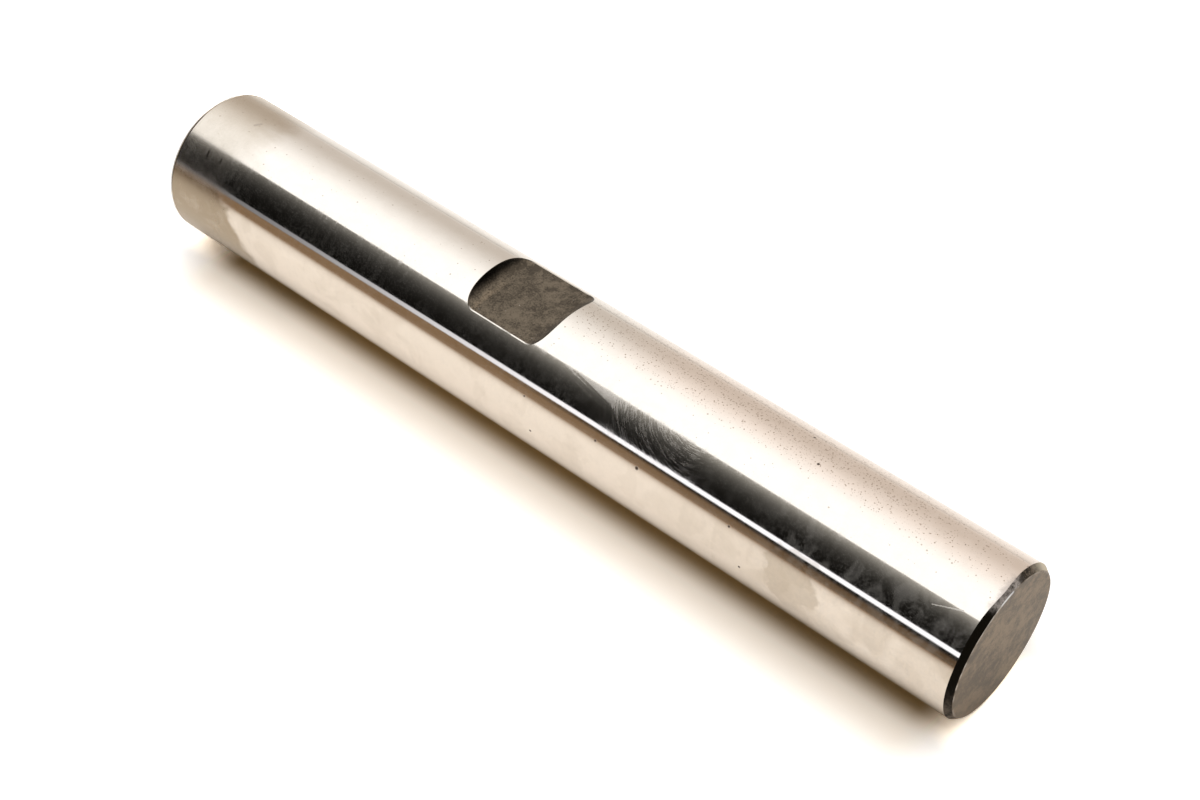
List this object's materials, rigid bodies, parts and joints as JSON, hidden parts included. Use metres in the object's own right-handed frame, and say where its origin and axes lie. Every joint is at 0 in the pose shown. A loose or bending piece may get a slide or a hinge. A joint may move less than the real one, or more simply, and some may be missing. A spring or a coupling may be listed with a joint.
{
  "type": "king pin",
  "caption": "Straight ground steel king pin for a steering knuckle, with chamfered ends and a round-cornered draw key notch milled across its side.",
  "frame": {"origin": "centre of the plain end, on which the pin stands", "axes": "+Z along the pin from the plain end to the chamfered end; the draw key notch faces -Y"},
  "size_m": [0.025, 0.025, 0.158],
  "materials": {
    "ground_steel": "cylindrically ground, with a matte milled notch and a sawn and faced end"
  },
  "bodies": {
    "root": {"king_pin": "ground_steel"}
  },
  "joints": []
}
